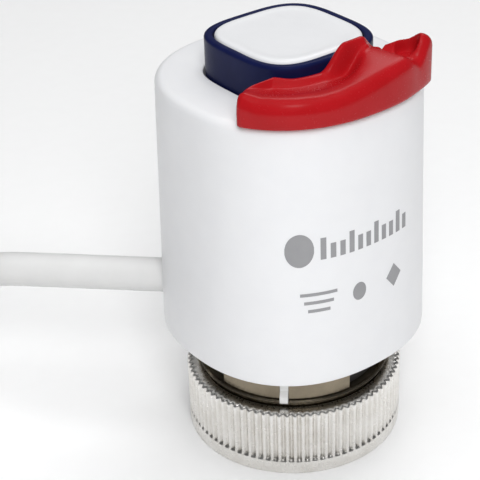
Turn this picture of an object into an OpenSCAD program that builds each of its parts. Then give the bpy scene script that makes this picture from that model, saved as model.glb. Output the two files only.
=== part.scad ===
// Thermoelectric valve actuator head with an M30 x 1.5 union nut.
// Origin: centre of the union nut's mouth. +Z runs up the axis, the cable leaves towards -X.

/* [Body] */
// Half width of the housing at its bottom, across its flatter sides
body_flat = 21.5; // [21.5:0.1:23]
// How much the housing narrows from bottom to top, on the radius
body_draft = 1; // [0.5:0.1:1.2]
// Squareness of the housing's outline (2 is a circle)
body_power = 2.32; // [2:0.01:2.5]
// Height of the housing's bottom edge
body_bottom = 21; // [20.6:0.1:21.2]
// Height of the housing's top face
body_top = 66.9; // [66.9:0.1:69]
// Thickness of the housing's top wall
top_wall = 2.5; // [2:0.1:2.5]

/* [Indicator] */
// Half width of the square indicator, across its flats
ring_flat = 11.6; // [11:0.1:11.6]
// Squareness of the indicator (2 is a circle)
ring_power = 3.4; // [2.8:0.1:4]
// How far the raised indicator stands out of the housing
ring_out = 6.5; // [5:0.1:8]
// Wall thickness of the indicator round its white cap
ring_rim = 1.4; // [1:0.1:2]
/* [First-open key] */
// Height of the key's low left end above the housing
key_low = 4.6; // [4:0.1:5]
// Height of the key's lip where it climbs the indicator
key_peak = 8.3; // [7.5:0.1:9]
// How far the key overhangs the top's edge
key_over = 0.9; // [0.5:0.1:1.2]

/* [Union nut] */
// Outer radius of the nut over its teeth
nut_r = 18.9; // [18.4:0.1:19.5]
// Height of the nut
nut_h = 12.6; // [12.4:0.1:12.8]
// Number of teeth round the nut
tooth_count = 88; // [60:1:96]
// Minor radius of the M30 x 1.5 thread
thread_r = 14.19; // [14:0.01:14.3]

/* [Cable] */
// Diameter of the cable
cable_d = 6; // [5:0.1:6]
// Height of the cable's centre line where it leaves the housing
cable_z = 27.4; // [27.4:0.1:28]

/* [Hidden] */
$fn = 96;

// Clearances
run = 0.08;

// Housing
top_edge = 1.4;
shell_r = 19.4;
shell_r_top = 18.7;
top_under = body_top - top_wall;

// Neck
neck_r = 16.27;
neck_in = 15.1;
neck_foot = 9.6;
bead_z = 13.15;
bead_h = 0.7;
bead_r = 16.75;
window_z = 13.9;
window_top = 20.4;
window_arc = 37.4;
window_at = [-150, -30, 90];
tongue_at = [-90, 30, 150];
tongue_w = 1.4;
plate_z = 21.4;
plate_top = 24;
flange_top = 24.9;
core_top = 28.1;
flange_r = 19;
core_r = neck_in - 0.1;
core_in = 12.6;
cable_slot = [16, 11.2, 20];

// Wire that holds the nut
wire_z = 10.9;
wire_r = 0.5;
wire_ring = 16.3;

// Nut
band_h = 3;
tooth_deep = 0.45;
neck_bore = neck_r + run;

// Base screws
screw_ring = 17.95;
screw_r = 0.9;
head_r = 1.4;

// Drive
rod_r = 2.4;
foot_z = 12;
bridge_z = 31.5;
bridge_h = 2.5;
leg_in = 9.4;
leg_out = 11.8;
leg_w = 7;
carrier_z = 36;
carrier_h = 2.5;
seat_z = carrier_z + carrier_h;
strip_t = 0.4;
pill_r = 5.2;
pill_h = 2.2;
pot_z = seat_z + 2 * strip_t + pill_h;
pot_r = 6.5;
pot_h = 9;
guide_z = pot_z + pot_h;
guide_h = 3;
piston_r = 1.5;
head_z = 58;
head_t = 2;
cup_z = 48;
cup_t = 1.5;
cup_r = 16.6;
cup_in = 14;
spring_r = 15.3;
spring_wire = 0.8;
plate_under = top_under - 1.4;

// Indicator
ring_top = body_top + ring_out - 0.3;
cap_top = body_top + ring_out;
cap_flat = ring_flat - ring_rim;
pocket_z = cap_top - 3;
hole_flat = ring_flat + 0.3;

// Terminals
block_x = -17.3;
block_l = 4.7;
block_z = 31.6;
block_w = 13;
clamp_x = -17.5;
clamp_l = 3.6;
wire_rad = 0.9;
wire_y = 1.4;
lug_x = -15.2;
lug_y = 5.45;

// Key: it runs round the rim from one angle to another, and across from its lip to its outer wall
key_start = -105.2;
key_end = -10.5;
key_gap = 0.35;
key_base = body_top + 0.03;
key_cut = 8.55;
key_cut_at = -41.9;
key_across = [0, 0.02, 0.05, 0.1, 0.18, 0.26, 0.34, 0.42, 0.5, 0.58, 0.66, 0.74, 0.8, 0.86, 0.91,
              0.95, 0.98, 1];
key_steps = 54;
key_round = 1.9;
key_crown = 2;
key_lip_round = 0.4;

// Cable: hand-chosen route from the housing to the coil, and the coil that it runs into
cable_route = [[-15.7, 0, 27.4], [-30, 0, 27.4], [-47, 0, 27.4], [-52, 0.3, 27], [-57, 1.3, 25.9],
               [-62, 3, 23.9], [-67, 5.3, 21.3], [-72, 8.3, 17.8], [-77, 11.2, 14.3],
               [-82, 13.5, 11.7], [-87, 15.2, 9.7], [-92, 16.2, 8.6], [-97, 16.5, 8.2]];
coil_at = [-97, -17];
coil_in = 21.5;
coil_out = 39.5;
coil_h = 11.2;
coil_side = 5;
coil_crown = [30, 37];
tie_at = 200;
tie_t = 0.8;
tail_route = [[-73.4, -23.6, 3], [-73.4, -19.3, 2.4], [-75.1, -15.1, 1.6], [-78.7, -11.8, 1.1],
              [-83.6, -9.6, 1], [-88.8, -8.9, 1]];
tail_side = [0.9, 1.2, 1.4, 1.7, 2.2, 3];
ferrule_l = 8;

// Radius of a rounded square at angle a, with flats facing 45 degrees: flat is its half width
function outline(flat, power, a) =
    flat / pow(pow(abs(cos(a - 45)), power) + pow(abs(sin(a - 45)), power), 1 / power);

function polar(r, a) = [r * cos(a), r * sin(a)];

function ease(t) = let (u = max(0, min(1, t))) u * u * (3 - 2 * u);

// Unit vector
function unit(v) = v / norm(v);

// Direction of a route at point i
function heading(p, i) = unit(p[min(i + 1, len(p) - 1)] - p[max(i - 1, 0)]);

// One ring of n points round a route's point, square to its heading
function ring_at(p, i, r, n) =
    let (h = heading(p, i), side = unit(cross([0, 0, 1], h)), up = cross(h, side))
    [for (k = [0 : n - 1]) p[i] + r * cos(360 * k / n) * side + r * sin(360 * k / n) * up];

// Tube of radius r and n sides along a route
module tube(route, r, n) {
    last = len(route) - 1;
    points = [for (i = [0 : last]) each ring_at(route, i, r, n)];
    walls = [for (i = [0 : last - 1], k = [0 : n - 1])
        let (a = i * n + k, b = i * n + (k + 1) % n)
        each [[a, a + n, b], [b, a + n, b + n]]];
    first_cap = [[for (k = [0 : n - 1]) k]];
    last_cap = [[for (k = [n - 1 : -1 : 0]) last * n + k]];
    polyhedron(points, concat(walls, first_cap, last_cap));
}

// Points of a spring's centre line, with closed ends
function coil_line(r, z0, z1, turns, per_turn) =
    [for (i = [0 : turns * per_turn])
        let (t = i / (turns * per_turn))
        [r * cos(360 * i / per_turn), r * sin(360 * i / per_turn), z0 + (z1 - z0) * t]];

module rounded_square(flat, power, z0, z1) {
    translate([0, 0, z0])
        linear_extrude(z1 - z0)
            polygon([for (i = [0 : 63]) polar(outline(flat, power, i * 5.625), i * 5.625)]);
}

// Thin slice of the housing's outline, drawn in from its wall by inset
module body_slice(z, inset) {
    flat = body_flat - body_draft * (z - body_bottom) / (body_top - body_bottom);
    translate([0, 0, z])
        linear_extrude(0.01)
            polygon([for (i = [0 : 71]) polar(outline(flat, body_power, i * 5) - inset, i * 5)]);
}

// Housing blank: drafted wall with a rounded top edge
module body_blank() {
    hull() {
        body_slice(body_bottom, 0.3);
        body_slice(body_bottom + 0.3, 0);
        for (a = [0 : 22.5 : 90])
            body_slice(body_top - 0.01 - top_edge * (1 - sin(a)), top_edge * (1 - cos(a)));
    }
}

module housing_shell() {
    color("white")
        difference() {
            body_blank();
            rotate_extrude()
                polygon([[0, body_bottom - 1], [shell_r, body_bottom - 1], [shell_r, body_bottom + 4],
                         [shell_r_top, top_under], [0, top_under]]);
            rounded_square(hole_flat, ring_power, top_under - 1, body_top + 1);
            translate([-30, 0, cable_z])
                rotate([0, 90, 0])
                    cylinder(r = 3.9, h = 20);
        }
}

module screw_holes(r, z0, z1) {
    for (a = window_at)
        rotate([0, 0, a])
            translate([screw_ring, 0, z0])
                cylinder(r = r, h = z1 - z0, $fn = 32);
}

// Room for the cable and its wires at the housing's left side
module cable_room(z0) {
    translate([-cable_slot.z - 10, -cable_slot.y / 2, z0])
        cube([cable_slot.z, cable_slot.y, 20]);
}

module base_plate() {
    color("white") {
        difference() {
            union() {
                translate([0, 0, plate_z])
                    cylinder(r = shell_r - 0.05, h = plate_top - plate_z);
                for (a = tongue_at)
                    rotate([0, 0, a])
                        translate([15.2, -tongue_w / 2, bead_z + 0.1])
                            cube([1, tongue_w, plate_top - bead_z - 0.1]);
            }
            difference() {
                translate([0, 0, plate_z - 1])
                    cylinder(r = neck_r + 0.03, h = 5);
                for (a = tongue_at)
                    rotate([0, 0, a])
                        translate([15.2, -tongue_w / 2, 0])
                            cube([3, tongue_w, 40]);
            }
            screw_holes(1, plate_z - 1, plate_top + 1);
            screw_holes(head_r + 0.1, plate_z - 1, plate_z + 1.2);
            translate([-25, -5.2, plate_z + 0.9])
                cube([7.2, 10.4, 5]);
        }
        // Hooks at the tongues' ends
        for (a = tongue_at)
            rotate([90, 0, a])
                translate([0, 0, -tongue_w / 2])
                    linear_extrude(tongue_w)
                        polygon([[16, bead_z + 0.1], [16.75, bead_z + 0.1], [17.05, bead_z + 0.5],
                                 [17.05, bead_z + 1.6], [16.2, bead_z + 2.4], [16, bead_z + 2.4]]);
    }
}

module neck_sleeve() {
    color("tan")
        difference() {
            rotate_extrude()
                polygon([[neck_in, neck_foot], [neck_r - 0.3, neck_foot], [neck_r, neck_foot + 0.3],
                         [neck_r, wire_z - 0.52], [15.78, wire_z - 0.52], [15.78, wire_z + 0.52],
                         [neck_r, wire_z + 0.52], [neck_r, bead_z], [bead_r - 0.2, bead_z],
                         [bead_r, bead_z + 0.2], [bead_r, bead_z + bead_h - 0.2],
                         [bead_r - 0.2, bead_z + bead_h], [neck_r, bead_z + bead_h],
                         [neck_r, plate_top], [flange_r, plate_top], [flange_r, flange_top],
                         [neck_in, flange_top]]);
            for (a = window_at)
                rotate([0, 0, a - window_arc / 2])
                    rotate_extrude(angle = window_arc)
                        translate([14, window_z])
                            square([4, window_top - window_z]);
            for (a = tongue_at)
                rotate([0, 0, a])
                    translate([14.5, -tongue_w / 2 - 0.05, bead_z - 0.1])
                        cube([4, tongue_w + 0.1, plate_top - bead_z + 0.1]);
            screw_holes(1, plate_top - 1, flange_top + 1);
            cable_room(plate_top);
        }
}

module neck_core() {
    color("dimgray")
        difference() {
            rotate_extrude()
                polygon([[rod_r + run, 16.4], [5, 16.4], [5, 18.4], [core_in, 18.4], [core_in, neck_foot],
                         [core_r, neck_foot], [core_r, flange_top], [flange_r, flange_top],
                         [flange_r, core_top], [core_in, core_top], [core_in, 20.4], [4.4, 20.4],
                         [4.4, 21.6], [rod_r + run, 21.6]]);
            screw_holes(screw_r + 0.02, flange_top - 1, core_top + 1);
            cable_room(plate_top);
        }
}

module nut_wire() {
    color("silver")
        rotate([0, 0, 100])
            rotate_extrude(angle = 335)
                translate([wire_ring, wire_z])
                    circle(r = wire_r, $fn = 24);
}

module union_nut() {
    color("lightgray")
        difference() {
            union() {
                rotate_extrude()
                    polygon([[0, 0], [nut_r - 0.6, 0], [nut_r, 0.6], [nut_r, band_h - 0.3],
                             [nut_r - tooth_deep, band_h], [nut_r - tooth_deep, nut_h - 0.3],
                             [nut_r - tooth_deep - 0.3, nut_h], [0, nut_h]]);
                translate([0, 0, band_h])
                    linear_extrude(nut_h - 0.3 - band_h)
                        polygon([for (i = [0 : tooth_count - 1], s = [-0.5, -0.18, 0.18])
                            polar(s == -0.5 ? nut_r - tooth_deep : nut_r, (i + s) * 360 / tooth_count)]);
            }
            translate([0, 0, -1])
                cylinder(r = thread_r, h = 12);
            translate([0, 0, 8.4])
                cylinder(r = 15.3, h = 1.01);
            translate([0, 0, 9.4])
                cylinder(r = neck_bore, h = 5);
            translate([0, 0, wire_z - 0.65])
                cylinder(r = 17, h = 1.3);
        }
}

module indicator_ring() {
    color("midnightblue")
        difference() {
            union() {
                rounded_square(ring_flat, ring_power, head_z + head_t, ring_top - 0.4);
                rounded_square(ring_flat - 0.25, ring_power, ring_top - 0.4, ring_top);
            }
            rounded_square(cap_flat - 0.2, ring_power, head_z + head_t - 1, pocket_z - 2);
            rounded_square(cap_flat, ring_power, pocket_z, ring_top + 1);
        }
}

module indicator_cap() {
    color("whitesmoke") {
        rounded_square(cap_flat - 0.05, ring_power, pocket_z, cap_top - 0.5);
        rounded_square(cap_flat - 0.4, ring_power, cap_top - 0.5, cap_top);
    }
}

// Key: height of its inner lip above the housing at angle a
function key_lip(a) =
    key_low + 0.3 * ease((-80 - a) / 13) + (key_peak - key_low) * ease((a + 63) / 23)
    - 3.3 * ease((a + 26) / 15);

// Key: height of its outer body at angle a
function key_mass(a) = 4.5 + 2.4 * ease((a + 72) / 48) + 0.7 * ease((-95 - a) / 10);

// Key: angle of its right end, t across from its lip to its outer wall
function key_last(t) = key_end + 6.3 * t - 2 * t * t;

// Key: height of the finger at its right end, climbing along it and across it
function key_finger(a, t) =
    5.1 + 0.2 * t
    + (ease((t - 0.2) / 0.05) + 1.9 * max(0, min(1, (t - 0.26) / 0.54))) * ease((a + 19) / 9);

// Key: oval finger scoop, with a thin wall left standing beside it
function key_pit(a, t) = ease(1.8 * (1 - pow((a + 13.2) / 5.6, 2) - pow((t - 0.64) / 0.21, 2)));

// Drop of a rounded edge at distance d from a wall, for an edge of radius r and height h
function shoulder(d, r, h) = d >= r ? 0 : h * (1 - sqrt(1 - pow((r - d) / r, 2)));

// Key: height above the housing at angle a, t across from its lip to its outer wall
function key_top(a, t) =
    let (crest = 0.72 - 0.5 * ease((a + 60) / 38),
         dish = 0.24 - 0.06 * ease((a + 50) / 25),
         lip = key_lip(a),
         mass = key_mass(a),
         floor = 3.8 + 3.6 * ease((a + 50) / 24) + ease((-93 - a) / 11),
         out = (t - crest) / (1 - crest),
         body = t < dish ? lip + (floor - lip) * ease((t - 0.06) / (dish - 0.06))
              : t < crest ? floor + (mass - floor) * ease((t - dish) / (crest - dish))
              : mass - 0.5 * out * out,
         fingered = body + (key_finger(a, t) - body) * ease((a + 27) / 9) * ease((t - 0.06) / 0.12),
         scooped = fingered + (4.9 - fingered) * key_pit(a, t),
         width = key_out(a) - key_in(a))
    scooped - shoulder((1 - t) * width, key_round, key_crown)
    - shoulder(t * width, key_lip_round, key_lip_round);

// Key: outer wall at angle a, wider at the finger end
function key_out(a) =
    outline(body_flat - body_draft, body_power, a) + key_over + 0.7 * ease((a + 22) / 20);

// Key: inner wall at angle a: cut off straight at the left end, then hugging the indicator
function key_in(a) =
    let (cut = a < -80 ? key_cut / cos(a - key_cut_at) : 0)
    min(max(outline(ring_flat, ring_power, a) + key_gap, cut), key_out(a) - 1.2);

function key_r(a, t) = key_in(a) + (key_out(a) - key_in(a)) * t;

module first_open_key() {
    n = len(key_across);
    spots = [for (i = [0 : key_steps], t = key_across)
        [key_start + (key_last(t) - key_start) * i / key_steps, t]];
    top = [for (s = spots) concat(polar(key_r(s.x, s.y), s.x), key_base + key_top(s.x, s.y))];
    bottom = [for (s = spots) concat(polar(key_r(s.x, s.y), s.x), key_base)];
    m = len(top);
    tops = [for (i = [0 : key_steps - 1], k = [0 : n - 2])
        let (p = i * n + k) each [[p, p + n, p + 1], [p + 1, p + n, p + n + 1]]];
    bottoms = [for (i = [0 : key_steps - 1], k = [0 : n - 2])
        let (p = m + i * n + k) each [[p, p + 1, p + n], [p + 1, p + n + 1, p + n]]];
    sides = [for (i = [0 : key_steps - 1], k = [0, n - 1])
        let (p = i * n + k, q = k == 0 ? [p, p + n] : [p + n, p])
        each [[q[0], q[0] + m, q[1]], [q[1], q[0] + m, q[1] + m]]];
    ends = [for (k = [0 : n - 2], i = [0, key_steps])
        let (p = i * n + k, q = i == 0 ? [p + 1, p] : [p, p + 1])
        each [[q[0], q[0] + m, q[1]], [q[1], q[0] + m, q[1] + m]]];
    color("firebrick")
        polyhedron(points = concat(top, bottom), faces = concat(tops, bottoms, sides, ends));
}

module lift_yoke() {
    color("gainsboro")
        difference() {
            union() {
                rounded_square(ring_flat - 0.1, ring_power, head_z, head_z + head_t);
                rounded_square(cap_flat - 0.3, ring_power, head_z + head_t - 0.5, head_z + head_t + 3);
                for (s = [0, 180])
                    rotate([0, 0, s]) {
                        translate([-leg_w / 2, leg_in, bridge_z])
                            cube([leg_w, leg_out - leg_in, head_z - bridge_z + 0.5]);
                        translate([-leg_w / 2 + 0.5, leg_out - 0.5, cup_z + 0.1])
                            cube([leg_w - 1, 3.5, cup_t - 0.2]);
                    }
                translate([-leg_w / 2 + 0.3, -leg_in - 0.5, bridge_z])
                    cube([leg_w - 0.6, 2 * leg_in + 1, bridge_h]);
                rotate_extrude()
                    translate([cup_in, cup_z])
                        square([cup_r - cup_in, cup_t]);
            }
            translate([0, 0, bridge_z - 1])
                cylinder(r = rod_r + 0.02, h = bridge_h + 2, $fn = 48);
        }
}

module push_rod() {
    color("dimgray") {
        translate([0, 0, foot_z])
            cylinder(r = 4, h = 2, $fn = 64);
        translate([0, 0, foot_z + 1])
            cylinder(r = rod_r, h = bridge_z + bridge_h - foot_z - 1, $fn = 48);
        translate([0, 0, 27.6])
            cylinder(r = 4, h = 1, $fn = 64);
    }
}

module rod_seal() {
    color("black")
        rotate_extrude()
            polygon([[rod_r + 0.03, 21.7], [4.3, 21.6], [4.3, 22.9], [3.4, 22.9], [rod_r + 0.03, 22.4]]);
}

module over_travel_spring() {
    color("silver")
        tube(coil_line(3.1, 29.02, bridge_z - 0.42, 2, 24), 0.4, 8);
}

module return_spring() {
    color("silver")
        tube(coil_line(spring_r, cup_z + cup_t + spring_wire, plate_under - spring_wire, 4, 32),
             spring_wire - 0.01, 8);
}

module spring_plate() {
    color("silver")
        translate([0, 0, plate_under])
            difference() {
                cylinder(r = 17.4, h = top_under - plate_under);
                translate([0, 0, -1])
                    cylinder(r = 13.9, h = 4);
            }
}

module heater_carrier() {
    color("black")
        difference() {
            union() {
                translate([0, 0, carrier_z])
                    cylinder(r = 7, h = carrier_h);
                translate([block_x, -4, carrier_z])
                    cube([16.4 - block_x, 8, carrier_h]);
                translate([13.4, -4, core_top])
                    cube([3, 8, carrier_z - core_top + 1]);
            }
            translate([0, 0, carrier_z - 0.5])
                cylinder(r = 3.2, h = 1.2, $fn = 48);
        }
}

module ptc_heater() {
    color("slategray")
        translate([0, 0, seat_z + strip_t])
            cylinder(r = pill_r, h = pill_h, $fn = 64);
}

module wax_cylinder() {
    color("goldenrod")
        difference() {
            translate([0, 0, pot_z])
                cylinder(r = pot_r, h = pot_h, $fn = 72);
            translate([0, 0, pot_z + 2])
                cylinder(r = piston_r + 0.2, h = pot_h, $fn = 48);
        }
}

module wax_guide() {
    color("darkgoldenrod")
        difference() {
            translate([0, 0, guide_z])
                cylinder(r = 5.2, h = guide_h, $fn = 6);
            translate([0, 0, guide_z - 1])
                cylinder(r = piston_r + run, h = guide_h + 2, $fn = 48);
        }
}

module wax_piston() {
    color("silver")
        translate([0, 0, 48.2])
            cylinder(r = piston_r, h = head_z - 48.2, $fn = 48);
}

// Flat contact at height z, from the pill to the screw on side s
module contact(z, s) {
    strip_w = 3.2;
    lug_w = 2.8;
    wall_y = s > 0 ? 4.1 : -4.4;
    translate([0, 0, z])
        cylinder(r = pill_r - 0.6, h = strip_t, $fn = 48);
    translate([lug_x - lug_w / 2, s > 0 ? 1.2 : -1.2 - strip_w, z])
        cube([lug_w / 2 - lug_x, strip_w, strip_t]);
    translate([lug_x - lug_w / 2, wall_y, carrier_z])
        cube([lug_w, 0.3, z + strip_t - carrier_z]);
    difference() {
        translate([lug_x - lug_w / 2, s > 0 ? 4.1 : -6.4, carrier_z])
            cube([lug_w, 2.3, strip_t]);
        translate([lug_x, s * lug_y, carrier_z - 1])
            cylinder(r = 0.62, h = 3, $fn = 24);
    }
}

module contact_live() {
    color("peru")
        contact(seat_z + strip_t + pill_h, 1);
}

module contact_neutral() {
    color("peru")
        contact(seat_z, -1);
}

module terminal_block() {
    color("beige")
        difference() {
            translate([block_x, -block_w / 2, block_z])
                cube([block_l, block_w, carrier_z - block_z]);
            for (s = [-1, 1]) {
                translate([lug_x, s * lug_y, block_z + 1])
                    cylinder(r = 0.62, h = 5, $fn = 24);
                translate([block_x + block_l - 1.5, s * wire_y, 33.8])
                    rotate([0, 90, 0])
                        cylinder(r = wire_rad + 0.02, h = 3, $fn = 24);
            }
        }
}

module terminal_screws() {
    color("silver")
        for (s = [-1, 1])
            translate([lug_x, s * lug_y, 0]) {
                translate([0, 0, block_z + 1.4])
                    cylinder(r = 0.6, h = carrier_z + strip_t - block_z - 1.4, $fn = 24);
                difference() {
                    translate([0, 0, carrier_z + strip_t])
                        cylinder(r = 1, h = 0.8, $fn = 32);
                    translate([-1.5, -0.15, carrier_z + strip_t + 0.4])
                        cube([3, 0.3, 1]);
                }
            }
}

// Core of the cable: out of the clamp, up and back into the terminal block
module core_wire(s) {
    x0 = clamp_x + clamp_l;
    bend = 2;
    x1 = -11.6;
    z1 = 33.8;
    translate([0, s * wire_y, 0]) {
        translate([x0, 0, cable_z])
            rotate([0, 90, 0])
                cylinder(r = wire_rad, h = x1 - x0, $fn = 24);
        translate([x1, 0, cable_z + bend])
            rotate([90, 0, 0])
                rotate([0, 0, -90])
                    rotate_extrude(angle = 90)
                        translate([bend, 0])
                            circle(r = wire_rad, $fn = 24);
        translate([x1 + bend, 0, cable_z + bend])
            cylinder(r = wire_rad, h = z1 - cable_z - 2 * bend, $fn = 24);
        translate([x1, 0, z1 - bend])
            rotate([90, 0, 0])
                rotate_extrude(angle = 90)
                    translate([bend, 0])
                        circle(r = wire_rad, $fn = 24);
        translate([block_x + block_l - 1.4, 0, z1])
            rotate([0, 90, 0])
                cylinder(r = wire_rad, h = x1 - block_x - block_l + 1.4, $fn = 24);
    }
}

module wire_live() {
    color("saddlebrown")
        core_wire(1);
}

module wire_neutral() {
    color("royalblue")
        core_wire(-1);
}

module cord_clamp() {
    color("ivory")
        difference() {
            translate([clamp_x, -5.2, plate_top])
                cube([clamp_l, 10.4, block_z - plate_top]);
            translate([clamp_x - 1, 0, cable_z])
                rotate([0, 90, 0])
                    cylinder(r = cable_d / 2 + 0.02, h = 1 + 1.8, $fn = 64);
            translate([clamp_x, 0, cable_z])
                rotate([0, 90, 0])
                    cylinder(r = 2.5, h = 10, $fn = 48);
        }
}

module base_screws() {
    color("silver")
        for (a = window_at)
            rotate([0, 0, a])
                translate([screw_ring, 0, 0]) {
                    translate([0, 0, plate_z + 1.2])
                        cylinder(r = screw_r, h = core_top - plate_z - 1.8, $fn = 32);
                    difference() {
                        translate([0, 0, plate_z + 0.1])
                            cylinder(r = head_r, h = 1.1, $fn = 32);
                        for (b = [0, 90])
                            rotate([0, 0, b])
                                translate([-0.9, -0.2, plate_z])
                                    cube([1.8, 0.4, 0.6]);
                    }
                }
}

module cable_grommet() {
    color("white")
        translate([0, 0, cable_z])
            rotate([0, -90, 0])
                rotate_extrude()
                    polygon([[cable_d / 2 + 0.02, 17.9], [4.8, 17.9], [4.8, 18.6], [3.88, 18.6],
                             [3.88, 21.9], [3.6, 22.15], [cable_d / 2 + 0.02, 22.15]]);
}

module cable() {
    color("white")
        tube(smooth_route(cable_route, 4), cable_d / 2, 12);
}

// Points along a curve that passes through every point of a route, n to each stretch
function smooth_route(p, n) =
    let (last = len(p) - 1)
    concat([for (i = [0 : last - 1], k = [0 : n - 1])
        let (a = p[max(i - 1, 0)], b = p[i], c = p[i + 1], d = p[min(i + 2, last)], t = k / n)
        0.5 * (2 * b + (c - a) * t + (2 * a - 5 * b + 4 * c - d) * t * t
               + (3 * b - a - 3 * c + d) * t * t * t)], [p[last]]);

// Upper outline of the coil's section, from its inner side to its outer side, grown by t
function coil_hump(t) = [[coil_in - t, coil_side], [coil_crown.x - t, coil_h + t],
                         [coil_crown.y + t, coil_h + t], [coil_out + t, coil_side]];

module cable_coil() {
    color("white")
        translate([coil_at.x, coil_at.y, 0])
            rotate_extrude()
                polygon(concat([[coil_out - 1, 0], [coil_in + 1, 0], [coil_in, 1]], coil_hump(0),
                               [[coil_out, 1]]));
}

module coil_tie() {
    color("black")
        translate([coil_at.x, coil_at.y, 0])
            rotate([0, 0, tie_at])
                rotate_extrude(angle = 4.5)
                    difference() {
                        polygon(concat([[coil_in - tie_t, 0]], coil_hump(tie_t),
                                       [[coil_out + tie_t, 0]]));
                        polygon(concat([[coil_in, -1]], coil_hump(0), [[coil_out, -1]]));
                    }
}

// One bare core at the cable's far end, on side s
function tail_line(s) = [for (i = [0 : len(tail_route) - 1]) tail_route[i] + [0, s * tail_side[i], 0]];

module wire_tails() {
    color("royalblue")
        for (s = [-1, 1])
            tube(smooth_route(tail_line(s), 3), 0.9, 8);
}

module ferrules() {
    color("silver")
        for (s = [-1, 1]) {
            end = tail_line(s)[len(tail_route) - 1];
            translate(end)
                rotate([0, -90, 0])
                    cylinder(r = 1, h = ferrule_l, $fn = 24);
        }
}

housing_shell();
base_plate();
neck_sleeve();
neck_core();
nut_wire();
union_nut();
indicator_ring();
indicator_cap();
first_open_key();
lift_yoke();
push_rod();
rod_seal();
over_travel_spring();
return_spring();
spring_plate();
heater_carrier();
ptc_heater();
wax_cylinder();
wax_guide();
wax_piston();
contact_live();
contact_neutral();
terminal_block();
terminal_screws();
wire_live();
wire_neutral();
cord_clamp();
base_screws();
cable_grommet();
cable();
cable_coil();
coil_tie();
wire_tails();
ferrules();
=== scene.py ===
import math

import bmesh
import bpy
from mathutils import Matrix, Vector


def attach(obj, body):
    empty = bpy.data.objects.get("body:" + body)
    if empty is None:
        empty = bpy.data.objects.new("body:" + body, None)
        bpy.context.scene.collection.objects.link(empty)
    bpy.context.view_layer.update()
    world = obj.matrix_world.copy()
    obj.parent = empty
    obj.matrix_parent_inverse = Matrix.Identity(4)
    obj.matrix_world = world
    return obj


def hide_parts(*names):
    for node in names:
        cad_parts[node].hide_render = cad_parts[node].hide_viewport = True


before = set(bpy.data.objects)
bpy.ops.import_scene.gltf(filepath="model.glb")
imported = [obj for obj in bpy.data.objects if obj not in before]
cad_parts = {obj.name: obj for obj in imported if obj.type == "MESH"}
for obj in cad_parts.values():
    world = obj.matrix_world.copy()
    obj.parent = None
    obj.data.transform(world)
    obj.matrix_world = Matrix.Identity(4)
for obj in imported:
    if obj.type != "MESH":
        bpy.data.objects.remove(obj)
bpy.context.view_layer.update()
scene = bpy.context.scene
MM = 0.001

# Sizes shared with the CAD model, in millimetres
BODY_FLAT, BODY_DRAFT, BODY_POWER = 21.5, 1.0, 2.32
BODY_BOTTOM, BODY_TOP, TOP_WALL, TOP_EDGE = 21.0, 66.9, 2.5, 1.4
SHELL_R, SHELL_R_TOP = 19.4, 18.7
TOP_UNDER = BODY_TOP - TOP_WALL
RING_FLAT, RING_POWER, RING_RIM = 11.6, 3.4, 1.4
CAP_FLAT = RING_FLAT - RING_RIM
RING_TOP, CAP_TOP, POCKET_Z, HEAD_TOP = 73.1, 73.4, 70.4, 60.0
HOLE_FLAT = RING_FLAT + 0.3
NUT_R, NUT_H, BAND_H, TEETH, THREAD_R = 18.9, 12.6, 3.0, 88, 14.19
NECK_BORE = 16.35
CABLE_D, CABLE_Z = 6.0, 27.4
KEY_START, KEY_END, KEY_BASE, KEY_GAP, KEY_OVER = -105.2, -10.5, BODY_TOP + 0.03, 0.35, 0.9
KEY_CUT, KEY_CUT_AT, KEY_LOW, KEY_PEAK = 8.55, -41.9, 4.6, 8.3
KEY_ROUND, KEY_CROWN, KEY_LIP_ROUND, KEY_END_ROUND = 1.9, 2.0, 0.4, 1.2


# ---------------------------------------------------------------- camera
def make_camera():
    """The camera, 6 degrees round to the right of the object's own front."""
    yaw, pitch, roll = (math.radians(v) for v in (-0.06, 29.83, -1.01))
    forward = Vector((math.sin(yaw) * math.cos(pitch), math.cos(yaw) * math.cos(pitch),
                      -math.sin(pitch)))
    right = Vector((math.cos(yaw), -math.sin(yaw), 0))
    up = right.cross(forward)
    right, up = (right * math.cos(roll) + up * math.sin(roll),
                 up * math.cos(roll) - right * math.sin(roll))
    turn = Matrix.Rotation(math.radians(6), 3, "Z")
    basis = turn @ Matrix((right, up, -forward)).transposed()
    place = turn @ Vector((0, -0.21032, 0.15988))
    data = bpy.data.cameras.new("camera")
    data.lens, data.sensor_width = 107.69, 36
    data.shift_x, data.shift_y = -0.1042, -0.0417
    data.clip_start, data.clip_end = 0.01, 10
    camera = bpy.data.objects.new("camera", data)
    scene.collection.objects.link(camera)
    camera.matrix_world = Matrix.Translation(place) @ basis.to_4x4()
    scene.camera = camera


make_camera()


# ---------------------------------------------------------------- mesh helpers
def outline(flat, power, degrees):
    """Radius of a rounded square whose flats face 45 degrees, in the direction given."""
    t = math.radians(degrees - 45)
    return flat / (abs(math.cos(t)) ** power + abs(math.sin(t)) ** power) ** (1 / power)


def ease(t):
    t = max(0.0, min(1.0, t))
    return t * t * (3 - 2 * t)


def polar(radius, degrees, z):
    t = math.radians(degrees)
    return Vector((radius * math.cos(t), radius * math.sin(t), z))


def ring(radius, z, count):
    """Ring of points in millimetres; radius is a number or a function of the angle in degrees."""
    angles = [360 * i / count for i in range(count)]
    return [polar(radius(a) if callable(radius) else radius, a, z) for a in angles]


def squared(flat, power, inset=0.0):
    """Radius function of a rounded square, for ring."""
    return lambda a: outline(flat, power, a) - inset


def fillet(x, z, r, first, last, steps):
    """Points of an arc round (x, z), from one angle to another, in degrees."""
    turns = [math.radians(first + (last - first) * i / steps) for i in range(steps + 1)]
    return [(x + r * math.cos(t), z + r * math.sin(t)) for t in turns]


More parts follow.
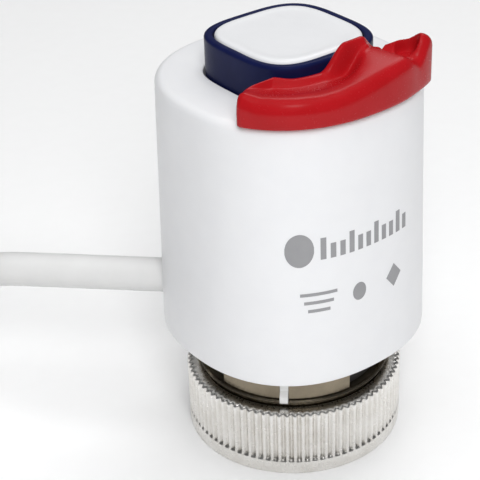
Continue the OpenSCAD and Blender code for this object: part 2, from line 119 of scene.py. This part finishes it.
def new_object(name, mesh, body, finish, sharp=38.0):
    """Object for a mesh that is in millimetres; it rides on a body."""
    mesh.transform(Matrix.Scale(MM, 4))
    mesh.validate()
    for polygon in mesh.polygons:
        polygon.use_smooth = True
    mesh.set_sharp_from_angle(angle=math.radians(sharp))
    mesh.materials.append(finish)
    piece = bpy.data.objects.new(name, mesh)
    scene.collection.objects.link(piece)
    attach(piece, body)
    return piece


def wall(z):
    """Size of the housing's outer wall at height z; it tapers upwards."""
    return BODY_FLAT - BODY_DRAFT * (z - BODY_BOTTOM) / (BODY_TOP - BODY_BOTTOM)


def mesh_of(name, points, faces):
    """Mesh with doubled points welded and every face turned outwards."""
    mesh = bpy.data.meshes.new(name)
    mesh.from_pydata([tuple(p) for p in points], [], faces)
    work = bmesh.new()
    work.from_mesh(mesh)
    bmesh.ops.remove_doubles(work, verts=work.verts, dist=0.0005)
    bmesh.ops.recalc_face_normals(work, faces=work.faces)
    work.to_mesh(mesh)
    work.free()
    return mesh


def skin(rings, closed=False):
    """Points and faces over rings of equal count. closed joins the last ring to the first;
    otherwise both ends are capped."""
    count, rows = len(rings[0]), len(rings)
    points = [p for row in rings for p in row]
    faces = []
    for j in range(rows if closed else rows - 1):
        a, b = j * count, (j + 1) % rows * count
        for i in range(count):
            k = (i + 1) % count
            faces.append((a + i, a + k, b + k, b + i))
    if not closed:
        faces.append(tuple(reversed(range(count))))
        faces.append(tuple((rows - 1) * count + i for i in range(count)))
    return points, faces


def sweep(line, radius, sides):
    """Round bar along a line of points, with flat ends."""
    rings, side = [], None
    for i, p in enumerate(line):
        heading = (line[min(i + 1, len(line) - 1)] - line[max(i - 1, 0)]).normalized()
        side = side if side else heading.orthogonal()
        side = (side - heading * side.dot(heading)).normalized()
        other = heading.cross(side)
        rings.append([p + (side * math.cos(t) + other * math.sin(t)) * radius
                      for t in (2 * math.pi * k / sides for k in range(sides))])
    return skin(rings)


def smooth_route(points, steps):
    """Curve through every point of a route, the same as in the CAD model."""
    points = [Vector(p) for p in points]
    last, out = len(points) - 1, []
    for i in range(last):
        a, b, c, d = points[max(i - 1, 0)], points[i], points[i + 1], points[min(i + 2, last)]
        for k in range(steps):
            t = k / steps
            out.append(0.5 * (2 * b + (c - a) * t + (2 * a - 5 * b + 4 * c - d) * t * t
                              + (3 * b - a - 3 * c + d) * t ** 3))
    return out + [points[last]]


def cut(piece, points, faces):
    """Takes a closed shape away from a piece, for good."""
    cutter = bpy.data.objects.new("cutter", mesh_of("cutter", points, faces))
    cutter.data.transform(Matrix.Scale(MM, 4))
    scene.collection.objects.link(cutter)
    change = piece.modifiers.new("cut", "BOOLEAN")
    change.operation, change.object, change.solver = "DIFFERENCE", cutter, "EXACT"
    made = bpy.data.meshes.new_from_object(
        piece.evaluated_get(bpy.context.evaluated_depsgraph_get()))
    piece.modifiers.clear()
    piece.data = made
    bpy.data.objects.remove(cutter)


# ---------------------------------------------------------------- materials
def material(name, colour, tint, rough, spread=0.08, grain=4000, bump=0.15, depth=0.00002,
             broad=260, metal=0.0, coat=0.0, coat_rough=0.1, level=0.5, crest_highlight=None, streak=None,
             soft=0.0):
    """Procedural finish. colour wanders towards tint in broad patches, roughness by spread, and
    a fine grain gives the bump. The (colour, first, full) argument is a painted highlight: its
    colour is laid on raised edges, first and full being pointiness. streak stretches the grain
    along one axis."""
    made = bpy.data.materials.new(name)
    made.use_nodes = True
    nodes, links = made.node_tree.nodes, made.node_tree.links
    shader = nodes["Principled BSDF"]
    shader.inputs["Metallic"].default_value = metal
    shader.inputs["Coat Weight"].default_value = coat
    shader.inputs["Coat Roughness"].default_value = coat_rough
    shader.inputs["Specular IOR Level"].default_value = level
    if soft:
        shader.inputs["Subsurface Weight"].default_value = soft
        shader.inputs["Subsurface Scale"].default_value = 0.001
        shader.inputs["Subsurface Radius"].default_value = (1.0, 0.9, 0.8)
    place = nodes.new("ShaderNodeTexCoord").outputs["Object"]
    if streak:
        mapping = nodes.new("ShaderNodeMapping")
        mapping.inputs["Scale"].default_value = streak
        links.new(place, mapping.inputs["Vector"])
        fine_place = mapping.outputs["Vector"]
    else:
        fine_place = place

    def noise(source, scale, detail):
        node = nodes.new("ShaderNodeTexNoise")
        node.inputs["Scale"].default_value = scale
        node.inputs["Detail"].default_value = detail
        links.new(source, node.inputs["Vector"])
        return node.outputs["Fac"]

    wide, fine = noise(place, broad, 3.0), noise(fine_place, grain, 4.0)
    ramp = nodes.new("ShaderNodeValToRGB")
    ramp.color_ramp.elements[0].position, ramp.color_ramp.elements[1].position = 0.35, 0.7
    ramp.color_ramp.elements[0].color = (*colour, 1)
    ramp.color_ramp.elements[1].color = (*tint, 1)
    links.new(wide, ramp.inputs["Fac"])
    shade = ramp.outputs["Color"]
    # Painted highlight: raised edges get a lighter colour, chosen by pointiness.
    if crest_highlight:
        geometry = nodes.new("ShaderNodeNewGeometry")
        edge = nodes.new("ShaderNodeMapRange")
        highlight_colour, first, full = crest_highlight
        edge.inputs["From Min"].default_value = first
        edge.inputs["From Max"].default_value = full
        links.new(geometry.outputs["Pointiness"], edge.inputs["Value"])
        mix = nodes.new("ShaderNodeMix")
        mix.data_type = "RGBA"
        links.new(edge.outputs["Result"], mix.inputs["Factor"])
        mix.inputs[7].default_value = (*highlight_colour, 1)
        links.new(shade, mix.inputs[6])
        shade = mix.outputs[2]
    links.new(shade, shader.inputs["Base Color"])
    span = nodes.new("ShaderNodeMapRange")
    span.inputs["From Min"].default_value, span.inputs["From Max"].default_value = 0.3, 0.7
    span.inputs["To Min"].default_value = rough
    span.inputs["To Max"].default_value = rough + spread
    links.new(fine, span.inputs["Value"])
    links.new(span.outputs["Result"], shader.inputs["Roughness"])
    raised = nodes.new("ShaderNodeBump")
    raised.inputs["Strength"].default_value = bump
    raised.inputs["Distance"].default_value = depth
    links.new(fine, raised.inputs["Height"])
    links.new(raised.outputs["Normal"], shader.inputs["Normal"])
    return made


WHITE = material("white_moulding", (0.84, 0.845, 0.86), (0.825, 0.83, 0.847), 0.30, 0.05,
                 grain=3200, bump=0.06, coat=0.15, coat_rough=0.2, level=0.45, soft=0.06)
NAVY = material("navy_moulding", (0.006, 0.009, 0.050), (0.008, 0.012, 0.062), 0.30, 0.1,
                grain=3000, bump=0.12, level=0.1)
CAP_WHITE = material("cap_moulding", (0.80, 0.805, 0.82), (0.785, 0.79, 0.805), 0.36, 0.06,
                     grain=3600, bump=0.05)
RED = material("red_moulding", (0.41, 0.008, 0.012), (0.385, 0.007, 0.010), 0.22, 0.06,
               grain=2600, bump=0.08, level=0.2)
# The nut's tooth crests get a painted highlight, a near-white colour chosen by pointiness.
NICKEL = material("nickel_plate", (0.80, 0.78, 0.745), (0.70, 0.675, 0.63), 0.24, 0.14,
                  grain=2500, bump=0.35, depth=0.00003, metal=1.0,
                  crest_highlight=((0.93, 0.92, 0.90), 0.5, 0.62))
COLLAR = material("collar_plate", (0.27, 0.23, 0.17), (0.22, 0.185, 0.135), 0.16, 0.1,
                  grain=1500, bump=0.2, metal=1.0, streak=(1, 1, 6))
STEEL = material("spring_steel", (0.56, 0.56, 0.56), (0.44, 0.44, 0.45), 0.25, 0.12, metal=1.0)
BRASS = material("turned_brass", (0.70, 0.50, 0.22), (0.60, 0.41, 0.18), 0.25, 0.12, metal=1.0,
                 streak=(1, 1, 8))
COPPER = material("copper_strip", (0.68, 0.40, 0.26), (0.58, 0.33, 0.21), 0.3, 0.1, metal=1.0)
DARK = material("dark_moulding", (0.030, 0.029, 0.028), (0.045, 0.042, 0.040), 0.42, 0.15)
NATURAL = material("natural_moulding", (0.66, 0.65, 0.61), (0.58, 0.57, 0.53), 0.4, 0.12)
TONGUE = material("tongue_moulding", (0.84, 0.84, 0.83), (0.78, 0.78, 0.77), 0.33, 0.1)
RUBBER = material("seal_rubber", (0.018, 0.018, 0.018), (0.03, 0.03, 0.03), 0.6, 0.15)
CERAMIC = material("sintered_pill", (0.20, 0.20, 0.21), (0.27, 0.27, 0.28), 0.55, 0.15)
PVC = material("cable_sheath", (0.72, 0.72, 0.715), (0.695, 0.695, 0.69), 0.36, 0.08,
               grain=2400, bump=0.12, soft=0.05)
BROWN = material("brown_insulation", (0.12, 0.045, 0.018), (0.15, 0.06, 0.025), 0.4, 0.1)
BLUE = material("blue_insulation", (0.015, 0.09, 0.36), (0.02, 0.12, 0.42), 0.4, 0.1)
INK = material("grey_ink", (0.30, 0.30, 0.31), (0.33, 0.33, 0.34), 0.5, 0.12, grain=6000)

NODE_FINISH = {
    "base_plate": TONGUE, "neck_sleeve": COLLAR, "neck_core": DARK, "nut_wire": STEEL,
    "lift_yoke": NATURAL, "push_rod": DARK, "rod_seal": RUBBER, "over_travel_spring": STEEL,
    "return_spring": STEEL, "spring_plate": STEEL, "heater_carrier": DARK,
    "ptc_heater": CERAMIC, "wax_cylinder": BRASS, "wax_guide": BRASS, "wax_piston": STEEL,
    "contact_live": COPPER, "contact_neutral": COPPER, "terminal_block": NATURAL,
    "terminal_screws": STEEL, "wire_live": BROWN, "wire_neutral": BLUE, "cord_clamp": NATURAL,
    "base_screws": STEEL, "cable_grommet": WHITE, "housing_shell": WHITE, "union_nut": NICKEL,
    "indicator_ring": NAVY, "indicator_cap": CAP_WHITE, "first_open_key": RED, "cable": PVC,
    "cable_coil": PVC, "coil_tie": DARK, "wire_tails": BLUE, "ferrules": STEEL,
}
for node_name, finish in NODE_FINISH.items():
    node_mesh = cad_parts[node_name].data
    node_mesh.materials.clear()
    node_mesh.materials.append(finish)


# ---------------------------------------------------------------- cable and its coil
COIL_AT = Vector((-97, -17, 0))
CABLE_ROUTE = [(-15.7, 0, 27.4), (-30, 0, 27.4), (-47, 0, 27.4), (-52, 0.3, 27), (-57, 1.3, 25.9),
               (-62, 3, 23.9), (-67, 5.3, 21.3), (-72, 8.3, 17.8), (-77, 11.2, 14.3),
               (-82, 13.5, 11.7), (-87, 15.2, 9.7), (-92, 16.2, 8.6), (-97, 16.5, 8.2)]
TAIL_ROUTE = [(-73.4, -23.6, 3), (-73.4, -19.3, 2.4), (-75.1, -15.1, 1.6), (-78.7, -11.8, 1.1),
              (-83.6, -9.6, 1), (-88.8, -8.9, 1)]
TAIL_SIDE = [0.9, 1.2, 1.4, 1.7, 2.2, 3]
TIE_AT = 202.2


def coil_line():
    """The coil: one turn on top, then three beside each other on the floor, winding inwards.

    Turns change places between angles cross_from and cross_to, where the top one passes over the
    turn below it and down outside it."""
    step, cross_from, cross_to, last_turn = 7.5, 340.0, 415.0, 289.4
    top_r, radii, low_z, lie_z, inwards = 33.5, (36.5, 30.5, 24.5), 3.0, 8.2, 6
    apart = 6.05        # from the top turn's middle to that of the turn it passes over
    line, angle = [], 90.0 + step
    while angle < cross_from - 0.01:
        line.append((angle, top_r, lie_z))
        angle += step
    steps = 10
    for i in range(steps + 1):
        t = i / steps
        under = radii[0] - inwards * ease(t)
        turn = math.radians(120 * (1 - ease(t)))
        line.append((cross_from + (cross_to - cross_from) * t, under + apart * math.cos(turn),
                     low_z + apart * math.sin(turn)))
    for i, radius in enumerate(radii):
        start = cross_to + 360 * i
        steps_in = inwards if i < len(radii) - 1 else 0
        end = start + (360 if steps_in else last_turn)
        angle = start + step
        while angle < end - 0.01:
            t = (angle - (cross_from + 360 * (i + 1))) / (cross_to - cross_from)
            line.append((angle, radius - steps_in * ease(t), low_z))
            angle += step
        line.append((end, radius - steps_in, low_z))
    return [COIL_AT + polar(r, a, z) for a, r, z in line]


def make_cable():
    """The cable in one piece, from the clip inside to the end of its coil."""
    line = [p * MM for p in smooth_route(CABLE_ROUTE, 6) + coil_line()]
    data = bpy.data.curves.new("cable_sheath", "CURVE")
    data.dimensions = "3D"
    data.bevel_depth, data.bevel_resolution, data.use_fill_caps = CABLE_D / 2 * MM, 7, True
    spline = data.splines.new("POLY")
    spline.points.add(len(line) - 1)
    for point, p in zip(spline.points, line):
        point.co = (*p, 1)
    spline.use_smooth = True
    data.materials.append(PVC)
    piece = bpy.data.objects.new("cable_sheath", data)
    scene.collection.objects.link(piece)
    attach(piece, "head")
    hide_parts("cable", "cable_coil")
    return piece


def make_tails():
    """The two bare cores at the cable's far end, with their crimped ends."""
    core_r, pieces = 0.9, []
    for side, finish, name in ((-1, BLUE, "blue_core"), (1, BROWN, "brown_core")):
        route = [Vector(p) + Vector((0, side * s, 0)) for p, s in zip(TAIL_ROUTE, TAIL_SIDE)]
        line = smooth_route(route, 8)
        core = new_object(name, mesh_of(name, *sweep(line, core_r, 20)), "head", finish)
        end = line[-1]
        profile = [(0.86, -0.2), (1.0, -0.1), (1.0, 2.6), (0.82, 2.9), (0.8, 7.7), (0.72, 8.0)]
        rings = [[end + Vector((-z, r * math.cos(t), r * math.sin(t)))
                  for t in (2 * math.pi * k / 24 for k in range(24))] for r, z in profile]
        crimp = new_object(name + "_ferrule", mesh_of(name, *skin(rings)), "head", STEEL)
        pieces += [core, crimp]
    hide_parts("wire_tails")
    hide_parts("ferrules")
    return pieces


def make_tie():
    """Band that holds the coil. path is its loop, as distance from the coil's middle and height."""
    path = [(21.3, 0.35), (21.2, 2), (21.25, 4), (22.3, 5.9), (25.8, 8.6), (29.6, 11.0),
            (31.4, 11.6), (33.5, 11.7), (35.6, 11.6), (37.2, 10.8), (38.6, 7.8), (39.7, 5),
            (39.9, 2), (39.6, 0.35), (38, 0.2), (30.5, 0.2), (23, 0.2)]
    middle = math.radians(TIE_AT)
    out = Vector((math.cos(middle), math.sin(middle), 0))
    along = Vector((-out.y, out.x, 0))
    route = [Vector((r, 0, z)) for r, z in path]
    closed = smooth_route(route + route[:1], 5)[:-1]
    section = [(-1.25, -0.2), (-1.1, 0.2), (1.1, 0.2), (1.25, -0.2)]      # across, outwards
    rings = []
    for i, p in enumerate(closed):
        ahead, behind = closed[(i + 1) % len(closed)], closed[i - 1]
        heading = (ahead - behind).normalized()
        normal = Vector((-heading.z, 0, heading.x))
        rings.append([COIL_AT + out * (p.x + normal.x * h) + along * w
                      + Vector((0, 0, max(0.02, p.z + normal.z * h))) for w, h in section])
    tie = new_object("coil_tie_band", mesh_of("tie", *skin(rings, closed=True)), "head", DARK)
    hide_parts("coil_tie")
    return tie


cable = make_cable()
tails = make_tails()
tie = make_tie()


# ---------------------------------------------------------------- housing
def make_housing():
    """Outer wall, rounded top edge, square hole and inner wall, with the cable's hole cut in."""
    count, bottom_edge, hole_edge, shell_z = 256, 0.45, 0.3, 25
    low, high = BODY_BOTTOM + bottom_edge, BODY_TOP - TOP_EDGE
    rings = []
    for inset, z in fillet(bottom_edge, low, bottom_edge, 270, 180, 5):
        rings.append(ring(squared(wall(z), BODY_POWER, inset), z, count))
    for i in range(1, 12):
        z = low + (high - low) * i / 12
        rings.append(ring(squared(wall(z), BODY_POWER), z, count))
    for inset, z in fillet(TOP_EDGE, high, TOP_EDGE, 180, 90, 9):
        rings.append(ring(squared(wall(z), BODY_POWER, inset), z, count))
    for t in (0.25, 0.5, 0.75):
        rings.append([a.lerp(b, t) for a, b in zip(
            ring(squared(wall(BODY_TOP), BODY_POWER, TOP_EDGE), BODY_TOP, count),
            ring(squared(HOLE_FLAT + hole_edge, RING_POWER), BODY_TOP, count))])
    for out, z in fillet(hole_edge, BODY_TOP - hole_edge, hole_edge, 90, 180, 4):
        rings.append(ring(squared(HOLE_FLAT + out, RING_POWER), z, count))
    rings.append(ring(squared(HOLE_FLAT, RING_POWER), TOP_UNDER, count))
    rings.append(ring(SHELL_R_TOP, TOP_UNDER, count))
    for i in range(1, 5):
        t = i / 5
        rings.append(ring(SHELL_R_TOP + (SHELL_R - SHELL_R_TOP) * t,
                          TOP_UNDER + (shell_z - TOP_UNDER) * t, count))
    rings.append(ring(SHELL_R, shell_z, count))
    rings.append(ring(SHELL_R, BODY_BOTTOM, count))
    piece = new_object("housing_body", mesh_of("housing", *skin(rings, closed=True)), "head",
                       WHITE, sharp=30)
    bore_r = 3.9
    bore = [[Vector((x, bore_r * math.cos(t), CABLE_Z + bore_r * math.sin(t)))
             for t in (2 * math.pi * k / 64 for k in range(64))] for x in (-30, -10)]
    cut(piece, *skin(bore))
    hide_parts("housing_shell")


make_housing()


# ---------------------------------------------------------------- plain grey prints on the front
def make_mark(name, angle, half, low, high):
    """Thin print on the housing. u runs from -1 to 1 across it, low(u) and high(u) are heights."""
    steps, sunk, proud = 24, -0.02, 0.03
    rings = []
    for i in range(steps + 1):
        u = 2 * i / steps - 1
        row = []
        for z, out in ((low(u), sunk), (low(u), proud), (high(u), proud), (high(u), sunk)):
            a = angle + half * u
            row.append(polar(outline(wall(z), BODY_POWER, a) + out, a, z))
        rings.append(row)
    new_object(name, mesh_of(name, *skin(rings)), "head", INK, sharp=20)


def bulge(u, size):
    """Half height of a round print at u; just short of nothing at its two ends."""
    return size * math.sqrt(max(0.0, 1 - (0.985 * u) ** 2))


def make_marks():
    """A disc and dashes in a row, and lines, a dot and a diamond below: none is lettering."""
    row, lower, tall, short, thick = 46.2, 36.7, 3.8, 2.6, 0.56
    make_mark("print_disc", -81, 6, lambda u: row - bulge(u, 2.9), lambda u: row + bulge(u, 2.9))
    for i in range(11):
        height = tall if i % 3 == 0 else short
        make_mark(f"print_dash_{i + 1}", -71 + 4.4 * i, 1.25,
                  lambda u: row - tall / 2, lambda u: row - tall / 2 + height)
    for i, z in enumerate((lower + 1.5, lower, lower - 1.5)):
        make_mark(f"print_line_{i + 1}", -73, 8 - 1.6 * i,
                  lambda u: z - thick / 2, lambda u: z + thick / 2)
    make_mark("print_dot", -54, 3.4,
              lambda u: lower - bulge(u, 1.6), lambda u: lower + bulge(u, 1.6))
    make_mark("print_diamond", -34, 4.6, lambda u: lower - 2.1 * (1.02 - abs(u)),
              lambda u: lower + 2.1 * (1.02 - abs(u)))


make_marks()


# ---------------------------------------------------------------- indicator
def make_indicator():
    """The navy frame, open at the top, and the white cap that fills it."""
    count, gap, rim_edge = 192, 0.2, 0.25
    rings = [ring(squared(CAP_FLAT - gap, RING_POWER), HEAD_TOP, count),
             ring(squared(RING_FLAT, RING_POWER), HEAD_TOP, count)]
    for z in (62, 64.4, 66.9, 69, 71, 72.2):
        rings.append(ring(squared(RING_FLAT, RING_POWER), z, count))
    edge = 0.55
    for inset, z in fillet(edge, RING_TOP - edge, edge, 180, 90, 7):
        rings.append(ring(squared(RING_FLAT, RING_POWER, inset), z, count))
    for inset, z in fillet(RING_RIM - rim_edge, RING_TOP - rim_edge, rim_edge, 90, 0, 4):
        rings.append(ring(squared(RING_FLAT, RING_POWER, inset), z, count))
    rings.append(ring(squared(CAP_FLAT, RING_POWER), POCKET_Z, count))
    rings.append(ring(squared(CAP_FLAT - gap, RING_POWER), POCKET_Z, count))
    piece = new_object("indicator_frame", mesh_of("frame", *skin(rings, closed=True)), "drive",
                       NAVY)
    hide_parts("indicator_ring")
    # White cap: a bevelled edge round a face that dishes very slightly
    rings = [ring(squared(CAP_FLAT - 0.05, RING_POWER), POCKET_Z + 0.02, count)]
    rings.append(ring(squared(CAP_FLAT - 0.05, RING_POWER), 72.5, count))
    for inset, z in fillet(0.75, CAP_TOP - 0.75, 0.7, 180, 100, 7):
        rings.append(ring(squared(CAP_FLAT, RING_POWER, inset), z, count))
    for inset, drop in ((1.1, 0.03), (1.5, 0.09), (2.4, 0.13), (4.5, 0.12), (7, 0.1), (9.2, 0.09)):
        power = RING_POWER - (RING_POWER - 2) * (inset / 9.2) ** 2
        rings.append(ring(squared(CAP_FLAT - inset, power), CAP_TOP - drop, count))
    piece = new_object("indicator_face", mesh_of("face", *skin(rings)), "drive", CAP_WHITE)
    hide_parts("indicator_cap")


make_indicator()


# ---------------------------------------------------------------- first-open key
def key_lip(a):
    """Height of the lip that hugs the indicator, above the housing, at angle a."""
    return (KEY_LOW + 0.3 * ease((-80 - a) / 13) + (KEY_PEAK - KEY_LOW) * ease((a + 63) / 23)
            - 3.3 * ease((a + 26) / 15))


def key_mass(a):
    """Height of the key's outer body."""
    return 4.5 + 2.4 * ease((a + 72) / 48) + 0.7 * ease((-95 - a) / 10)


def key_last(t):
    """Angle of the key's right end, t across from its lip to its outer wall."""
    return KEY_END + 6.3 * t - 2 * t * t


def key_finger(a, t):
    """Height of the finger grip at the right end, which climbs along it and across it."""
    rise = ease((t - 0.2) / 0.05) + 1.9 * max(0.0, min(1.0, (t - 0.26) / 0.54))
    return 5.1 + 0.2 * t + rise * ease((a + 19) / 9)


def key_pit(a, t):
    """Share of the oval scoop in the finger grip: 0 outside it, 1 at its floor."""
    return ease(1.8 * (1 - ((a + 13.2) / 5.6) ** 2 - ((t - 0.64) / 0.21) ** 2))


def shoulder(d, r, h):
    """Drop of a rounded edge at distance d from a wall, for an edge of radius r and height h."""
    return 0.0 if d >= r else h * (1 - math.sqrt(max(0.0, 1 - ((r - d) / r) ** 2)))


def key_top(a, t):
    """Height of the key at angle a, t across: lip, dish, crest, then the outer bulge."""
    crest = 0.72 - 0.5 * ease((a + 60) / 38)
    dish = 0.24 - 0.06 * ease((a + 50) / 25)
    lip, mass = key_lip(a), key_mass(a)
    floor = 3.8 + 3.6 * ease((a + 50) / 24) + ease((-93 - a) / 11)
    if t < dish:
        body = lip + (floor - lip) * ease((t - 0.06) / (dish - 0.06))
    elif t < crest:
        body = floor + (mass - floor) * ease((t - dish) / (crest - dish))
    else:
        body = mass - 0.5 * ((t - crest) / (1 - crest)) ** 2
    body += (key_finger(a, t) - body) * ease((a + 27) / 9) * ease((t - 0.06) / 0.12)
    pit_floor = 4.9
    body += (pit_floor - body) * key_pit(a, t)
    width = key_out(a) - key_in(a)
    return (body - shoulder((1 - t) * width, KEY_ROUND, KEY_CROWN)
            - shoulder(t * width, KEY_LIP_ROUND, KEY_LIP_ROUND))


def key_out(a):
    return outline(BODY_FLAT - BODY_DRAFT, BODY_POWER, a) + KEY_OVER + 0.7 * ease((a + 22) / 20)


def key_in(a):
    straight = KEY_CUT / math.cos(math.radians(a - KEY_CUT_AT)) if a < -80 else 0
    return min(max(outline(RING_FLAT, RING_POWER, a) + KEY_GAP, straight), key_out(a) - 1.2)


def make_key():
    """Rings round the key's section, from end to end; both ends and the foot are rounded."""
    along, across, foot = 170, 60, 0.35
    rings = []
    for i in range(along + 1):
        u = i / along
        u = u - 0.11 * math.sin(2 * math.pi * u) / math.pi      # closer together at the ends
        row = []
        for k in range(across + 1):
            t = 0.5 - 0.5 * math.cos(math.pi * k / across)
            t = 0.55 * t + 0.45 * k / across
            a = KEY_START + (key_last(t) - KEY_START) * u
            inner, outer = key_in(a), key_out(a)
            r = inner + (outer - inner) * t
            arc = math.radians(1) * r
            near = min((a - KEY_START) * arc, (key_last(t) - a) * arc)
            end = shoulder(max(near, 0.0), KEY_END_ROUND, 1.0)
            r = r + end * (0.5 - t) * 1.2
            row.append((r, a, max(0.6, key_top(a, t) - 0.9 * end)))
        section = [polar(r, a, KEY_BASE + h) for r, a, h in row]
        (r0, a0, _), (r1, a1, _) = row[0], row[-1]
        section += [polar(r1, a1, KEY_BASE + foot + h) for h in (0.45, 0.0)]
        section += [polar(r1 - 0.1, a1, KEY_BASE + 0.1), polar(r1 - 0.35, a1, KEY_BASE)]
        section += [polar(r0 + 0.35, a0, KEY_BASE), polar(r0 + 0.1, a0, KEY_BASE + 0.1)]
        section += [polar(r0, a0, KEY_BASE + foot + h) for h in (0.0, 0.45)]
        rings.append(section)
    piece = new_object("key_body", mesh_of("key", *skin(rings)), "key", RED, sharp=60)
    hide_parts("first_open_key")


make_key()


# ---------------------------------------------------------------- union nut
def make_nut():
    """Rounded foot band, knurled wall, the neck's bore with its wire groove, and the thread."""
    per_tooth = 8
    count = TEETH * per_tooth
    deep = 0.5
    tooth = [0.0, 0.10, 0.62, 0.93, 1.0, 0.93, 0.62, 0.10]

    def toothed(scale, inset=0.0):
        def radius(a):
            i = round(a * count / 360) % per_tooth
            return NUT_R - inset - deep + deep * tooth[i] * scale
        return radius

    rings = []
    for inset, z in fillet(0.5, 0.5, 0.5, 270, 180, 5):
        rings.append(ring(NUT_R - inset, z, count))
    rings.append(ring(NUT_R, BAND_H - 0.55, count))
    rings.append(ring(NUT_R - 0.08, BAND_H - 0.35, count))
    rings.append(ring(toothed(1.0, 0.12), BAND_H - 0.1, count))
    for z in (BAND_H + 0.15, 5, 7, 9, 11, NUT_H - 0.55):
        rings.append(ring(toothed(1.0), z, count))
    rings.append(ring(toothed(0.9, 0.08), NUT_H - 0.3, count))
    rings.append(ring(toothed(0.55, 0.22), NUT_H - 0.08, count))
    rings.append(ring(NUT_R - 0.95, NUT_H, count))
    rings.append(ring(NECK_BORE + 0.35, NUT_H, count))
    rings.append(ring(NECK_BORE + 0.1, NUT_H - 0.1, count))
    for r, z in ((NECK_BORE, NUT_H - 0.35), (NECK_BORE, 11.55), (17, 11.55), (17, 10.25),
                 (NECK_BORE, 10.25), (NECK_BORE, 9.4), (15.3, 9.4), (15.3, 8.45)):
        rings.append(ring(r, z, count))
    pitch, thread_deep, thread_top, thread_low, steps = 1.5, 0.75, 8.4, 0.9, 44
    for j in range(steps + 1):
        z = thread_top - (thread_top - thread_low) * j / steps
        fade = min(1.0, j / 4)

        def radius(a, z=z, fade=fade):
            phase = (z / pitch - a / 360) % 1.0
            wave = max(0.0, min(1.0, 2.6 * abs(phase - 0.5) - 0.2))
            return THREAD_R + 0.02 + thread_deep * wave * fade + (1 - fade) * 0.9
        rings.append(ring(radius, z, count))
    rings.append(ring(THREAD_R + 0.95, 0.12, count))
    rings.append(ring(THREAD_R + 1.1, 0, count))
    piece = new_object("nut_body", mesh_of("nut", *skin(rings, closed=True)), "nut", NICKEL,
                       sharp=50)
    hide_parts("union_nut")


make_nut()


# ---------------------------------------------------------------- stage
def make_floor():
    """Plain pale floor, 6 m across."""
    mesh = bpy.data.meshes.new("floor")
    size = 3.0
    mesh.from_pydata([(-size, -size, 0), (size, -size, 0), (size, size, 0), (-size, size, 0)], [],
                     [(0, 1, 2, 3)])
    mesh.materials.append(material("paper", (0.985, 0.985, 0.985), (0.975, 0.975, 0.975), 0.6, 0.1,
                                   grain=800, bump=0.02, level=0.2))
    floor = bpy.data.objects.new("floor", mesh)
    scene.collection.objects.link(floor)


def make_light(name, azimuth, elevation, distance, size, power, shine=True):
    """Soft box aimed at the head's middle. shine says whether it shows in reflections."""
    data = bpy.data.lights.new(name, "AREA")
    data.shape, data.size, data.size_y = "RECTANGLE", size[0], size[1]
    data.energy = power
    light = bpy.data.objects.new(name, data)
    scene.collection.objects.link(light)
    a, e = math.radians(azimuth), math.radians(elevation)
    aim = Vector((0, 0, 0.04))
    back = Vector((math.sin(a) * math.cos(e), -math.cos(a) * math.cos(e), math.sin(e)))
    light.location = aim + back * distance
    light.rotation_mode = "QUATERNION"
    light.rotation_quaternion = (-back).to_track_quat("-Z", "Y")
    light.visible_glossy = shine


make_floor()
make_light("key_light", 11, 38, 0.9, (0.36, 0.42), 4.3, shine=False)
make_light("top_light", 20, 86, 1.1, (0.9, 0.9), 6.6, shine=False)
make_light("back_light", 165, 50, 1.1, (0.7, 0.4), 2.2)
make_light("glint_light", 18, 55, 0.9, (0.14, 0.14), 0.6)
world = bpy.data.worlds.new("studio")
world.use_nodes = True
world.node_tree.nodes["Background"].inputs["Color"].default_value = (0.95, 0.97, 1.0, 1)
world.node_tree.nodes["Background"].inputs["Strength"].default_value = 0.12
scene.world = world
scene.view_settings.view_transform = "Standard"
